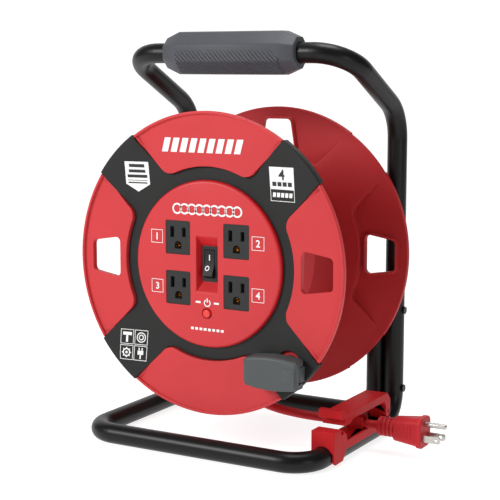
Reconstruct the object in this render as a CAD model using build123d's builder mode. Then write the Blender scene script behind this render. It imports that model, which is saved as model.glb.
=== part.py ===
"""Extension cord reel: a two-flange reel on a bent tube stand, with a panel of four sockets.

Millimetres, +Z up. The origin is on the floor, midway between the front and rear ground bars.
The reel turns about a line along Y, and its socket panel faces -Y.
"""

import os
from math import cos, pi, radians, sin, tan

from build123d import *

os.makedirs("parts", exist_ok=True)

# ---- driving dimensions ----
flange_radius = 140.0
reel_width = 144.0
axle_height = 174.8
reel_front_y = -69.9          # front edge of the front flange's rim
tube_radius = 9.5
tube_wall = 1.5
leg_x = 117.4                 # legs and side ground bars
base_half_depth = 92.85       # front ground bar and legs, either side of the origin
floor_tube_z = tube_radius
ground_bend = 28.0
handle_y = -19.5
handle_z = 366.5
handle_bend = 35.0
knee_z = 309.6                # where the legs turn towards the handle
knee_bend = 39.5
wall = 2.5                    # moulded wall thickness
moving_gap = 0.4              # between parts that move past each other
running_gap = 0.05            # radial, pin in hole

# ---- depths behind the front edge of the reel's rim ----
panel_depth = 2.5             # face of the four raised flange panels
ring_depth = 6.5              # sunk face of the black ring
cover_wall = 2.0
hub_face_depth = 2.0          # face of the socket panel
drum_radius = 75.0
drum_wall = 3.0
drum_seam_depth = reel_width / 2
ring_radius = 89.5
hub_radius = 77.5
arm_half_width = 25.5
web_opening_radius = 62.0

# ---- sockets, switch and reset button, measured from the reel's axis ----
socket_x = 31.2
socket_z = 23.45
socket_drop = 0.35
socket_width = 26.4
socket_height = 31.2
slot_pitch = 12.7
slot_rise = 5.0
ground_drop = 6.9
ground_hole_radius = 2.6
button_z = -45.4
button_radius = 3.7
button_travel = 1.5
rocker_reach = 12.9
rocker_swing = 24.0

# ---- crank, measured from the reel's axis ----
crank_x = 85.0
crank_z = -84.5
crank_pin_x = crank_x + 12.6
crank_pin_depth = -6.8
handle_front_depth = -19.0
handle_back_depth = -0.8
handle_mid_z = crank_z - 4.7

# ---- lead, plug and cord clip ----
lead_radius = 4.1
plug_y = 8.1
plug_z = 24.6
plug_face_x = 186.0
clip_width = 23.0
clip_front_y = -63.5
clip_rear_y = 59.6
clip_pivot_y = 54.1
clip_pivot_z = 26.2
arm_top_z = 44.5

reel_axis = Axis((0, reel_front_y, axle_height), (0, 1, 0))
radial_plane = Plane(origin=(0, reel_front_y, axle_height), x_dir=(1, 0, 0), z_dir=(0, 0, 1))


def face_plane(depth, x=0.0, z=0.0):
    """A plane across the reel's axis: local X is +X, local Y is +Z and its normal points forward."""
    origin = (x, reel_front_y + depth, axle_height + z)
    return Plane(origin=origin, x_dir=(1, 0, 0), z_dir=(0, -1, 0))


def save(builder, name):
    """Label a finished piece and write it as the STEP file of its node."""
    builder.part.label = name
    export_step(builder.part, f"parts/{name}.step")


# ---- stand: one bent tube makes the handle bar, legs and ground bars ----
handle_joint_x = 0.4
hoop_points = [
    (handle_joint_x - 0.2, handle_y, handle_z),
    (-leg_x, handle_y, handle_z),
    (-leg_x, base_half_depth, knee_z),
    (-leg_x, base_half_depth, floor_tube_z),
    (-leg_x, -base_half_depth, floor_tube_z),
    (leg_x, -base_half_depth, floor_tube_z),
    (leg_x, base_half_depth, floor_tube_z),
    (leg_x, base_half_depth, knee_z),
    (leg_x, handle_y, handle_z),
    (handle_joint_x + 0.2, handle_y, handle_z),
]
hoop_bends = [
    handle_bend,
    knee_bend,
    ground_bend,
    ground_bend,
    ground_bend,
    ground_bend,
    knee_bend,
    handle_bend,
]

with BuildPart() as main_frame_tube:
    with BuildLine() as hoop_path:
        FilletPolyline(*hoop_points, radius=hoop_bends)
    with BuildSketch(Plane(origin=hoop_points[0], z_dir=(-1, 0, 0))):
        Circle(tube_radius)
        Circle(tube_radius - tube_wall, mode=Mode.SUBTRACT)
    sweep(path=hoop_path.line)
save(main_frame_tube, "main_frame_tube")

# ---- rear support: a U of the same tube between the legs ----
support_x = leg_x - 2 * tube_radius - 0.4
support_y = base_half_depth + 0.7
support_top_z = 142.0
support_points = [
    (-support_x, support_y, support_top_z),
    (-support_x, support_y, floor_tube_z),
    (support_x, support_y, floor_tube_z),
    (support_x, support_y, support_top_z),
]
with BuildPart() as rear_support_tube:
    with BuildLine() as support_path:
        FilletPolyline(*support_points, radius=ground_bend)
    with BuildSketch(Plane(origin=support_points[0], z_dir=(0, 0, -1))):
        Circle(tube_radius)
        Circle(tube_radius - tube_wall, mode=Mode.SUBTRACT)
    sweep(path=support_path.line)
save(rear_support_tube, "rear_support_tube")

cap_height = 2.5
with BuildPart() as support_tube_caps:
    with BuildSketch(Plane.XY.offset(support_top_z)):
        with Locations((-support_x, support_y), (support_x, support_y)):
            Circle(tube_radius)
    extrude(amount=cap_height)
    with BuildSketch(Plane.XY.offset(support_top_z)):
        with Locations((-support_x, support_y), (support_x, support_y)):
            Circle(tube_radius - tube_wall - 0.05)
    extrude(amount=-10)
    fillet(support_tube_caps.edges().group_by(Axis.Z)[-1], 1.2)
save(support_tube_caps, "support_tube_caps")

# ---- axle bracket: a pressed plate across the support's uprights ----
bracket_wall = 3.0
bracket_back_y = support_y - tube_radius - 0.1
bracket_plane = Plane(origin=(0, bracket_back_y, 0), x_dir=(1, 0, 0), z_dir=(0, -1, 0))
bracket_low_z = 104.0
bracket_high_z = 134.0
bracket_bolt_z = [bracket_low_z + 7, bracket_high_z - 7]
bolt_spots = [(side * support_x, z) for side in (-1, 1) for z in bracket_bolt_z]
axle_radius = 8.0
with BuildPart() as axle_bracket:
    with BuildSketch(bracket_plane):
        with BuildLine():
            Polyline(
                (-support_x - 8, bracket_low_z),
                (support_x + 8, bracket_low_z),
                (support_x + 8, bracket_high_z),
                (40, bracket_high_z),
                (22, axle_height + 6),
                (-22, axle_height + 6),
                (-40, bracket_high_z),
                (-support_x - 8, bracket_high_z),
                close=True,
            )
        make_face()
        with Locations((0, axle_height)):
            Circle(23)
    extrude(amount=bracket_wall)
    fillet(axle_bracket.edges().filter_by(Axis.Y).group_by(Axis.X)[0], 5)
    fillet(axle_bracket.edges().filter_by(Axis.Y).group_by(Axis.X)[-1], 5)
    with BuildSketch(bracket_plane.offset(bracket_wall)):
        with Locations((0, axle_height)):
            Circle(axle_radius + 0.05)
        with Locations(*bolt_spots):
            Circle(2.6)
    extrude(amount=-2 * bracket_wall, mode=Mode.SUBTRACT)
    with BuildSketch(bracket_plane):
        with Locations((0, 118)):
            SlotOverall(90, 12)
    extrude(amount=bracket_wall, mode=Mode.SUBTRACT)
save(axle_bracket, "axle_bracket")

bracket_front_y = bracket_back_y - bracket_wall
bolt_plane = Plane(origin=(0, bracket_front_y, 0), x_dir=(1, 0, 0), z_dir=(0, -1, 0))
with BuildPart() as bracket_bolts:
    with BuildSketch(bolt_plane):
        with Locations(*bolt_spots):
            Circle(4.4)
    extrude(amount=2.4)
    fillet(bracket_bolts.edges().group_by(Axis.Y)[0], 1.0)
    with BuildSketch(bolt_plane):
        with Locations(*bolt_spots):
            Circle(2.5)
    extrude(amount=-bracket_wall)
save(bracket_bolts, "bracket_bolts")

# ---- axle: a collared shaft, held by a nut behind the bracket ----
axle_front_depth = 62.0
axle_front_y = reel_front_y + axle_front_depth
axle_plane = Plane(origin=(0, bracket_front_y, axle_height), x_dir=(1, 0, 0), z_dir=(0, -1, 0))
axle_collar_length = 2.2
stub_length = bracket_wall + 9
with BuildPart() as axle:
    with BuildSketch(axle_plane):
        Circle(axle_radius)
    extrude(amount=bracket_front_y - axle_front_y)
    with BuildSketch(axle_plane):
        Circle(axle_radius + 4)
    extrude(amount=axle_collar_length)
    with BuildSketch(axle_plane):
        Circle(axle_radius)
    extrude(amount=-stub_length)
    with BuildSketch(axle_plane.offset(bracket_front_y - axle_front_y - 6)):
        Circle(axle_radius + 1)
        Circle(axle_radius - 1.2, mode=Mode.SUBTRACT)
    extrude(amount=1.6, mode=Mode.SUBTRACT)
    chamfer(axle.edges().group_by(Axis.Y)[0], 1.0)
    chamfer(axle.edges().group_by(Axis.Y)[-1], 1.0)
save(axle, "axle")

nut_plane = Plane(origin=(0, bracket_back_y, axle_height), x_dir=(1, 0, 0), z_dir=(0, 1, 0))
with BuildPart() as axle_rear_nut:
    with BuildSketch(nut_plane):
        RegularPolygon(12.5, 6)
        Circle(axle_radius + 0.03, mode=Mode.SUBTRACT)
    extrude(amount=6)
save(axle_rear_nut, "axle_rear_nut")

with BuildPart() as axle_retaining_clip:
    with BuildSketch(axle_plane.offset(bracket_front_y - axle_front_y - 5.9)):
        Circle(axle_radius + 3.4)
        Circle(axle_radius - 1.1, mode=Mode.SUBTRACT)
        with Locations((0, -axle_radius)):
            Rectangle(5, 9, mode=Mode.SUBTRACT)
    extrude(amount=1.4)
save(axle_retaining_clip, "axle_retaining_clip")

# ---- screws that tie each upright to its leg ----
tie_heights = [40.0, 118.0]
tie_plane = Plane(origin=(0, base_half_depth, 0), x_dir=(0, 1, 0), z_dir=(1, 0, 0))
tie_spots = [(0, height) for height in tie_heights]
with BuildPart() as leg_tie_screws:
    for side in (-1, 1):
        with BuildSketch(tie_plane.offset(side * (leg_x + tube_radius))):
            with Locations(*tie_spots):
                Circle(3.6)
        extrude(amount=side * 1.8)
save(leg_tie_screws, "leg_tie_screws")

# ---- grip: two moulded shells screwed together round the handle bar ----
grip_centre_x = 0.4
grip_half_length = 70.0
grip_radius = 19.8
grip_end_radius = 14.0
grip_taper_length = 15.5
octagon_turn = 22.5
grip_stations = [
    (-grip_half_length, grip_end_radius),
    (-grip_half_length + grip_taper_length, grip_radius),
    (grip_half_length - grip_taper_length, grip_radius),
    (grip_half_length, grip_end_radius),
]


def grip_half(side):
    """Half of the grip: an octagonal bar with tapered ends, split at the bar's vertical plane."""
    with BuildPart() as half:
        for (x_low, low), (x_high, high) in zip(grip_stations[:-1], grip_stations[1:]):
            for x, size in ((x_low, low), (x_high, high)):
                station = Plane(origin=(grip_centre_x + x, handle_y, handle_z), z_dir=(1, 0, 0))
                with BuildSketch(station):
                    RegularPolygon(size, 8, major_radius=False, rotation=octagon_turn)
            loft()
        bar = Plane(origin=(grip_centre_x, handle_y, handle_z), z_dir=(1, 0, 0))
        with BuildSketch(bar):
            Circle(tube_radius + 0.1)
        extrude(amount=grip_half_length + 1, both=True, mode=Mode.SUBTRACT)
        split(bisect_by=Plane(origin=(0, handle_y, 0), z_dir=(0, side, 0)))
    return half


grip_screw_x = [grip_centre_x - 45, grip_centre_x, grip_centre_x + 45]
screw_spots = [(x, handle_z - 14.0) for x in grip_screw_x]
grip_screw_plane = Plane(origin=(0, handle_y + 10.0, 0), x_dir=(-1, 0, 0), z_dir=(0, 1, 0))

grip_front_shell = grip_half(-1)
save(grip_front_shell, "grip_front_shell")

with BuildPart() as grip_rear_shell:
    add(grip_half(1).part)
    with BuildSketch(grip_screw_plane):
        with Locations(*[(-x, z) for x, z in screw_spots]):
            Circle(3.7)
    extrude(amount=20, mode=Mode.SUBTRACT)
    with BuildSketch(grip_screw_plane):
        with Locations(*[(-x, z) for x, z in screw_spots]):
            Circle(2.1)
    extrude(amount=-11, mode=Mode.SUBTRACT)
save(grip_rear_shell, "grip_rear_shell")

with BuildPart() as grip_screws:
    with BuildSketch(grip_screw_plane):
        with Locations(*[(-x, z) for x, z in screw_spots]):
            Circle(3.5)
    extrude(amount=2.5)
    with BuildSketch(grip_screw_plane):
        with Locations(*[(-x, z) for x, z in screw_spots]):
            Circle(1.9)
    extrude(amount=-9.8)
save(grip_screws, "grip_screws")

with BuildPart() as tube_joint_sleeve:
    with BuildSketch(Plane(origin=(handle_joint_x, handle_y, handle_z), z_dir=(1, 0, 0))):
        Circle(tube_radius - tube_wall - 0.05)
        Circle(tube_radius - 2 * tube_wall, mode=Mode.SUBTRACT)
    extrude(amount=30, both=True)
save(tube_joint_sleeve, "tube_joint_sleeve")

# ---- reel flanges: raised panels between the arms of a sunk cross ----
panel_gap = 0.3
lip_width = 2.7
lip_depth = 5.0
web_top_depth = ring_depth + cover_wall + 0.3
web_rim_depth = 1.8
slope_end_radius = 130.0
slope_start_radius = 94.0
window_inner_x = 97.0
window_outer_x = 128.0
window_inner_half = 19.5
window_outer_half = 14.5
window_corner = 4.5
drum_screw_radius = 50.0
hub_tube_radius = 15.0
bush_radius = 11.0


def cross_face(plane, extra, reach):
    """The plan of the ring and its four arms, grown outward by extra."""
    with BuildSketch(plane) as cross:
        Circle(ring_radius + extra)
        for turn in (45, 135):
            Rectangle(2 * reach, 2 * (arm_half_width + extra), rotation=turn)
        corners = cross.vertices().filter_by(lambda v: Vector(v.X, v.Y).length < ring_radius + 5)
        fillet(corners, 13 - extra)
        Circle(reach, mode=Mode.INTERSECT)
    return cross.sketch


def window_face(plane, turn, extra):
    """A trapezoid opening in a panel, its taller side towards the axis."""
    inner_x = window_inner_x - extra
    outer_x = window_outer_x + extra
    inner_half = window_inner_half + extra
    outer_half = window_outer_half + extra
    with BuildSketch(plane) as window:
        with BuildLine():
            Polyline(
                (inner_x, -inner_half),
                (outer_x, -outer_half),
                (outer_x, outer_half),
                (inner_x, inner_half),
                close=True,
            )
        make_face()
        fillet(window.vertices(), window_corner + extra)
    return window.sketch.rotate(Axis(plane.origin, plane.z_dir), turn)


def radial_profile(points, mirrored):
    """A closed outline of (radius, depth) points, mirrored about the drum's seam for the rear half."""
    placed = [(r, reel_width - d if mirrored else d) for r, d in points]
    with BuildSketch(radial_plane) as profile:
        with BuildLine():
            Polyline(*placed, close=True)
        make_face()
    return profile.sketch


deep = 40.0
near_plane = face_plane(-5)
far_plane = face_plane(reel_width + 5)


def flange(mirrored, window_turns):
    """A flange with its half of the drum: lip, panels, cross-shaped web, window collars and drum wall."""
    start = far_plane if mirrored else near_plane
    inward = deep if mirrored else -deep
    panel_cut = cross_face(start, panel_gap, flange_radius + 5)
    wall_cut = cross_face(start, panel_gap + wall, flange_radius + 5)
    panel_points = [
        (80, panel_depth),
        (flange_radius - lip_width, panel_depth),
        (flange_radius - lip_width, 0),
        (flange_radius, 0),
        (flange_radius, lip_depth),
        (80, lip_depth),
    ]
    wall_points = [
        (84, panel_depth),
        (flange_radius - 0.5, panel_depth),
        (flange_radius - 0.5, lip_depth),
        (slope_end_radius, lip_depth),
        (slope_start_radius, web_top_depth + wall),
        (84, web_top_depth + wall),
    ]
    web_points = [
        (web_opening_radius, web_top_depth),
        (slope_start_radius, web_top_depth),
        (slope_end_radius, web_rim_depth),
        (flange_radius - 0.4, web_rim_depth),
        (flange_radius - 0.4, lip_depth),
        (slope_end_radius, lip_depth),
        (slope_start_radius, web_top_depth + wall),
        (web_opening_radius, web_top_depth + wall),
    ]
    with BuildPart() as panels:
        revolve(radial_profile(panel_points, mirrored), axis=reel_axis)
        extrude(panel_cut, amount=inward, mode=Mode.SUBTRACT)
    with BuildPart() as walls:
        revolve(radial_profile(wall_points, mirrored), axis=reel_axis)
        extrude(wall_cut, amount=inward, mode=Mode.INTERSECT)
        extrude(panel_cut, amount=inward, mode=Mode.SUBTRACT)
    with BuildPart() as web:
        revolve(radial_profile(web_points, mirrored), axis=reel_axis)
        extrude(wall_cut, amount=inward, mode=Mode.INTERSECT)
    with BuildPart() as whole:
        add(panels.part)
        add(walls.part)
        add(web.part)
        for turn in window_turns:
            collar_start = face_plane(reel_width - panel_depth) if mirrored else face_plane(panel_depth)
            collar_depth = 6.0 if mirrored else -6.0
            extrude(window_face(collar_start, turn, 1.8), amount=collar_depth)
        for turn in window_turns:
            extrude(window_face(start, turn, 0), amount=inward, mode=Mode.SUBTRACT)
    return whole


drum_points = [
    (drum_radius - drum_wall, web_top_depth + 0.5),
    (drum_radius, web_top_depth + 0.5),
    (drum_radius, drum_seam_depth),
    (hub_tube_radius + 2, drum_seam_depth),
    (hub_tube_radius + 2, drum_seam_depth - wall),
    (drum_radius - drum_wall, drum_seam_depth - wall),
]
pocket_radius = 12.8
pocket_floor_depth = 6.5
pocket_cup_depth = 10.0
crank_stem_radius = 4.0
crank_plane = face_plane(0, crank_x, crank_z)
drum_screw_plane = face_plane(drum_seam_depth)
relief_angle = -98.0
relief_hole_radius = 7.0
relief_x = drum_radius * cos(radians(relief_angle))
relief_z = drum_radius * sin(radians(relief_angle))
relief_lean = radians(-72.0)
relief_dir = Vector(cos(relief_lean), 0, sin(relief_lean))
relief_y = reel_front_y + 45.0
relief_root = Vector(relief_x, relief_y, axle_height + relief_z)
relief_plane = Plane(origin=relief_root, z_dir=relief_dir)
hub_boss_radius = 67.0
cover_space = [
    (web_opening_radius, -5),
    (web_opening_radius, web_top_depth),
    (slope_start_radius, web_top_depth),
    (slope_end_radius, web_rim_depth),
    (flange_radius + 2, web_rim_depth),
    (flange_radius + 2, -5),
]
with BuildPart() as pocket_cup:
    with BuildSketch(crank_plane):
        Circle(pocket_radius + 1.8)
    extrude(amount=-pocket_cup_depth)
    revolve(radial_profile(cover_space, False), axis=reel_axis, mode=Mode.SUBTRACT)

with BuildPart() as front_flange:
    add(flange(False, (0, 180)).part)
    add(pocket_cup.part)
    revolve(radial_profile(drum_points, False), axis=reel_axis)
    with BuildSketch(crank_plane):
        Circle(pocket_radius)
    extrude(amount=-pocket_floor_depth, mode=Mode.SUBTRACT)
    with BuildSketch(crank_plane):
        Circle(crank_stem_radius + running_gap)
    extrude(amount=-deep, mode=Mode.SUBTRACT)
    with BuildSketch(drum_screw_plane.offset(5)):
        with PolarLocations(drum_screw_radius, 6, start_angle=30):
            Circle(1.7)
    extrude(amount=-8, mode=Mode.SUBTRACT)
    with BuildSketch(face_plane(web_top_depth - 1)):
        with PolarLocations(hub_boss_radius, 6):
            Circle(1.9)
    extrude(amount=-6, mode=Mode.SUBTRACT)
    with BuildSketch(relief_plane.offset(-12)):
        Circle(relief_hole_radius)
    extrude(amount=24, mode=Mode.SUBTRACT)
save(front_flange, "front_flange")

rear_drum_points = [
    (drum_radius - drum_wall, web_top_depth + 0.5),
    (drum_radius, web_top_depth + 0.5),
    (drum_radius, drum_seam_depth - 0.05),
    (bush_radius, drum_seam_depth - 0.05),
    (bush_radius, 9),
    (hub_tube_radius, 9),
    (hub_tube_radius, drum_seam_depth - wall),
    (drum_radius - drum_wall, drum_seam_depth - wall),
]
rear_web_points = [
    (bush_radius, web_top_depth),
    (web_opening_radius + 1, web_top_depth),
    (web_opening_radius + 1, web_top_depth + wall),
    (bush_radius, web_top_depth + wall),
]
with BuildPart() as rear_flange:
    add(flange(True, (0, 90, 180, 270)).part)
    revolve(radial_profile(rear_drum_points, True), axis=reel_axis)
    revolve(radial_profile(rear_web_points, True), axis=reel_axis)
    with BuildSketch(drum_screw_plane.offset(-6)):
        with PolarLocations(drum_screw_radius, 6, start_angle=30):
            Circle(4.5)
    extrude(amount=6 - 0.05)
    with BuildSketch(drum_screw_plane.offset(1)):
        with PolarLocations(drum_screw_radius, 6, start_angle=30):
            Circle(1.7)
    extrude(amount=-8, mode=Mode.SUBTRACT)
save(rear_flange, "rear_flange")

with BuildPart() as drum_screws:
    with BuildSketch(drum_screw_plane.offset(wall)):
        with PolarLocations(drum_screw_radius, 6, start_angle=30):
            Circle(3.6)
    extrude(amount=2.2)
    with BuildSketch(drum_screw_plane.offset(wall)):
        with PolarLocations(drum_screw_radius, 6, start_angle=30):
            Circle(1.6)
    extrude(amount=-8)
save(drum_screws, "drum_screws")

# ---- bushes that run on the axle, pressed into the rear flange's hub tube ----
bush_length = 14.0
bush_depths = {"front": drum_seam_depth + 0.2, "rear": reel_width - 9 - bush_length}
for place, depth in bush_depths.items():
    with BuildPart() as bush:
        with BuildSketch(face_plane(depth)):
            Circle(bush_radius)
            Circle(axle_radius + running_gap, mode=Mode.SUBTRACT)
        extrude(amount=-bush_length)
    save(bush, f"hub_bush_{place}")

# ---- black cross-shaped cover over the arms and ring, wrapped over the rim ----
cover_rim_radius = 141.4
cover_outer_points = [
    (hub_radius - 2.5, ring_depth),
    (slope_start_radius - 3, ring_depth),
    (slope_end_radius + 2, -0.5),
    (cover_rim_radius - 1.0, -0.5),
    (cover_rim_radius, 0.5),
    (cover_rim_radius, 7.5),
    (flange_radius + 0.15, 7.5),
    (flange_radius + 0.15, 1.5),
    (slope_end_radius, 1.5),
    (slope_start_radius - 3, ring_depth + cover_wall),
    (hub_radius - 2.5, ring_depth + cover_wall),
]
cover_outline = cross_face(near_plane, 0, flange_radius + 5)
with BuildPart() as spider_cover:
    revolve(radial_profile(cover_outer_points, False), axis=reel_axis)
    extrude(cover_outline, amount=-deep, mode=Mode.INTERSECT)
    with BuildSketch(crank_plane.offset(5)):
        Circle(pocket_radius + 0.2)
    extrude(amount=-20, mode=Mode.SUBTRACT)
save(spider_cover, "spider_cover")

# ---- socket panel: a round plate with four socket openings and a sloping switch pocket ----
hub_wall = 3.0
hub_edge = 4.0
pocket_face_depth = 8.5
hub_points = [
    (0, hub_face_depth),
    (hub_radius, hub_face_depth),
    (hub_radius, ring_depth - 0.15),
    (hub_radius - hub_wall, ring_depth - 0.15),
    (hub_radius - hub_wall, hub_face_depth + hub_wall),
    (0, hub_face_depth + hub_wall),
]
socket_spots = [
    (side * socket_x, rise * socket_z - socket_drop) for side in (-1, 1) for rise in (1, -1)
]
pocket_mouth = (23.2, 52.8)
pocket_base = (17.0, 34.2)


def pocket_block(grow, front_depth, back_depth):
    """The switch pocket as a four-sided block that narrows from its mouth to its floor."""
    with BuildPart() as block:
        with BuildSketch(face_plane(front_depth)):
            Rectangle(pocket_mouth[0] + grow, pocket_mouth[1] + grow)
        with BuildSketch(face_plane(back_depth)):
            Rectangle(pocket_base[0] + grow, pocket_base[1] + grow)
        loft()
    return block.part


with BuildPart() as hub_plate:
    revolve(radial_profile(hub_points, False), axis=reel_axis)
    fillet(hub_plate.edges().group_by(Axis.Y)[0], hub_edge - 0.8)
    add(pocket_block(4.0, hub_face_depth, pocket_face_depth + 2))
    add(pocket_block(0.0, hub_face_depth - 0.001, pocket_face_depth), mode=Mode.SUBTRACT)
    with BuildSketch(face_plane(hub_face_depth + hub_wall)):
        with PolarLocations(hub_boss_radius, 6):
            Circle(3.2)
    extrude(amount=-(web_top_depth - hub_face_depth - hub_wall - 0.05))
    with BuildSketch(face_plane(web_top_depth)):
        with PolarLocations(hub_boss_radius, 6):
            Circle(1.3)
    extrude(amount=4.5, mode=Mode.SUBTRACT)
    with BuildSketch(face_plane(0)):
        with Locations(*socket_spots):
            RectangleRounded(socket_width + 0.3, socket_height + 0.3, 1.5)
        Rectangle(13.8, 28.4)
        with Locations((0, button_z)):
            Circle(button_radius + 0.25)
    extrude(amount=-20, mode=Mode.SUBTRACT)
    with BuildSketch(face_plane(hub_face_depth)):
        with Locations((0, button_z)):
            Circle(button_radius + 1.6)
    extrude(amount=-1.2, mode=Mode.SUBTRACT)
save(hub_plate, "hub_plate")

hub_screw_depth = web_top_depth + wall
with BuildPart() as hub_plate_screws:
    with BuildSketch(face_plane(hub_screw_depth)):
        with PolarLocations(hub_boss_radius, 6):
            Circle(3.2)
    extrude(amount=-2.0)
    with BuildSketch(face_plane(hub_screw_depth)):
        with PolarLocations(hub_boss_radius, 6):
            Circle(1.25)
    extrude(amount=6.0)
save(hub_plate_screws, "hub_plate_screws")

# ---- four grounded sockets with their brass contacts ----
socket_face_depth = hub_face_depth + 0.4
socket_back_depth = 22.0
cavity_depth = socket_face_depth + 3.2
contact_depth = cavity_depth + 0.4
contact_length = 9.0
neutral_slot = (2.4, 8.2)
hot_slot = (2.2, 6.6)
bar_depths = {"hot": 22.4, "neutral": 24.4, "ground": 26.4}
for number, (x, z) in enumerate(socket_spots, start=1):
    spot = face_plane(socket_face_depth, x, z)
    blades = [(-slot_pitch / 2, slot_rise, neutral_slot), (slot_pitch / 2, slot_rise, hot_slot)]
    with BuildPart() as socket:
        with BuildSketch(spot):
            RectangleRounded(socket_width, socket_height, 1.3)
        extrude(amount=-(socket_back_depth - socket_face_depth))
        with BuildSketch(face_plane(hub_face_depth + hub_wall + 0.05, x, z)):
            RectangleRounded(socket_width + 2.6, socket_height + 2.6, 1.5)
        extrude(amount=-2.0)
        with BuildSketch(spot):
            for slot_x, slot_z, (slot_width, slot_height) in blades:
                with Locations((slot_x, slot_z)):
                    Rectangle(slot_width, slot_height)
            with Locations((0, -ground_drop)):
                Circle(ground_hole_radius)
        extrude(amount=-5, mode=Mode.SUBTRACT)
        with BuildSketch(face_plane(cavity_depth, x, z)):
            with Locations(*[(slot_x, slot_z) for slot_x, slot_z, _ in blades]):
                Rectangle(6.0, 10.5)
            with Locations((0, -ground_drop)):
                Circle(4.2)
        extrude(amount=-(socket_back_depth - cavity_depth), mode=Mode.SUBTRACT)
    save(socket, f"socket_{number}")

    contact_plane = face_plane(contact_depth, x, z)
    with BuildPart() as contacts:
        for (slot_x, slot_z, (slot_width, _)), bar in zip(blades, ("neutral", "hot")):
            with BuildSketch(contact_plane):
                for side in (-1, 1):
                    with Locations((slot_x + side * (slot_width / 2 + 0.4), slot_z)):
                        Rectangle(0.7, 7.0)
            extrude(amount=-contact_length)
            with BuildSketch(contact_plane.offset(-contact_length)):
                with Locations((slot_x, slot_z)):
                    Rectangle(slot_width + 1.5, 7.0)
            extrude(amount=-0.8)
            with BuildSketch(contact_plane.offset(-contact_length)):
                with Locations((slot_x, slot_z)):
                    Rectangle(2.0, 3.0)
            extrude(amount=-(bar_depths[bar] - contact_depth - contact_length))
        with BuildSketch(contact_plane):
            with Locations((0, -ground_drop)):
                Circle(ground_hole_radius + 0.9)
                Circle(ground_hole_radius + 0.1, mode=Mode.SUBTRACT)
        extrude(amount=-contact_length)
        with BuildSketch(contact_plane.offset(-contact_length)):
            with Locations((0, -ground_drop)):
                Circle(ground_hole_radius + 0.9)
        extrude(amount=-0.8)
        with BuildSketch(contact_plane.offset(-contact_length)):
            with Locations((0, -ground_drop)):
                Rectangle(2.0, 3.0)
        extrude(amount=-(bar_depths["ground"] - contact_depth - contact_length))
    save(contacts, f"socket_contacts_{number}")

# ---- bus bars behind the sockets: an arch for each conductor ----
bar_offsets = {"hot": slot_pitch / 2, "neutral": -slot_pitch / 2, "ground": 0.0}
bar_rises = {"hot": slot_rise, "neutral": slot_rise, "ground": -ground_drop}
for bar, depth in bar_depths.items():
    low_z = -socket_z - socket_drop + bar_rises[bar] - 4
    top_z = socket_z + socket_height / 2 + 3
    with BuildPart() as bus_bar:
        with BuildSketch(face_plane(depth)):
            for side in (-1, 1):
                with Locations((side * socket_x + bar_offsets[bar], (low_z + top_z) / 2)):
                    Rectangle(5, top_z - low_z)
            with Locations((bar_offsets[bar], top_z - 2.5)):
                Rectangle(2 * socket_x, 5)
        extrude(amount=-0.8)
    save(bus_bar, f"{bar}_bus_bar")

# ---- rocker switch ----
bezel_depth = 7.2
pivot_depth = 9.6
housing_back_depth = 30.0
rocker_width = 10.4
pivot_radius = 1.5
terminal_root = 1.0
terminal_length = 8.0
with BuildPart() as switch_housing:
    with BuildSketch(face_plane(bezel_depth)):
        RectangleRounded(16.0, 33.0, 1.0)
    extrude(amount=-(pocket_face_depth - bezel_depth - 0.02))
    with BuildSketch(face_plane(pocket_face_depth - 0.02)):
        Rectangle(13.4, 28.0)
    extrude(amount=-(housing_back_depth - pocket_face_depth))
    with BuildSketch(face_plane(bezel_depth)):
        Rectangle(rocker_width + 0.8, 2 * rocker_reach + 0.6)
    extrude(amount=-12, mode=Mode.SUBTRACT)
    with BuildSketch(Plane(origin=(0, reel_front_y + pivot_depth, axle_height), z_dir=(1, 0, 0))):
        Circle(pivot_radius + running_gap)
    extrude(amount=6.0, both=True, mode=Mode.SUBTRACT)
    with BuildSketch(face_plane(housing_back_depth - terminal_root)):
        with Locations((0, 9), (0, -9)):
            Rectangle(0.8, 6.3)
    extrude(amount=-terminal_length)
save(switch_housing, "switch_housing")

rocker_plane = Plane(origin=(0, reel_front_y + pivot_depth, axle_height), x_dir=(0, 1, 0), z_dir=(1, 0, 0))
flush = bezel_depth - pivot_depth
raised_reach = 10.6
raised = (flush - raised_reach * sin(radians(rocker_swing))) / cos(radians(rocker_swing))
with BuildPart() as switch_rocker:
    with BuildSketch(rocker_plane):
        with BuildLine():
            Polyline(
                (flush, 15),
                (flush, 0.5),
                (raised, -raised_reach),
                (raised, -15),
                (-1, -15),
                (3.2, 0),
                (1.5, 15),
                close=True,
            )
        make_face()
        Circle(rocker_reach, mode=Mode.INTERSECT)
    extrude(amount=rocker_width / 2, both=True)
    with BuildSketch(rocker_plane):
        Circle(pivot_radius)
    extrude(amount=5.9, both=True)
save(switch_rocker, "switch_rocker")

# ---- overload breaker with its reset button and leaf spring ----
breaker_front_depth = hub_face_depth + hub_wall + 0.05
button_front_depth = 0.6
button_back_depth = 10.5
breaker_plane = face_plane(breaker_front_depth, 0, button_z)
with BuildPart() as breaker_body:
    with BuildSketch(breaker_plane):
        RectangleRounded(14, 27, 1.2)
    extrude(amount=-22)
    with BuildSketch(breaker_plane):
        Circle(button_radius + 0.25)
    extrude(amount=-10, mode=Mode.SUBTRACT)
    with BuildSketch(breaker_plane.offset(-22 + terminal_root)):
        with Locations((0, 8), (0, -8)):
            Rectangle(0.8, 6.3)
    extrude(amount=-terminal_length)
save(breaker_body, "breaker_body")

with BuildPart() as reset_button:
    with BuildSketch(face_plane(button_front_depth, 0, button_z)):
        Circle(button_radius)
    extrude(amount=-(button_back_depth - button_front_depth))
    fillet(reset_button.edges().group_by(Axis.Y)[0], 0.8)
save(reset_button, "reset_button")

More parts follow.
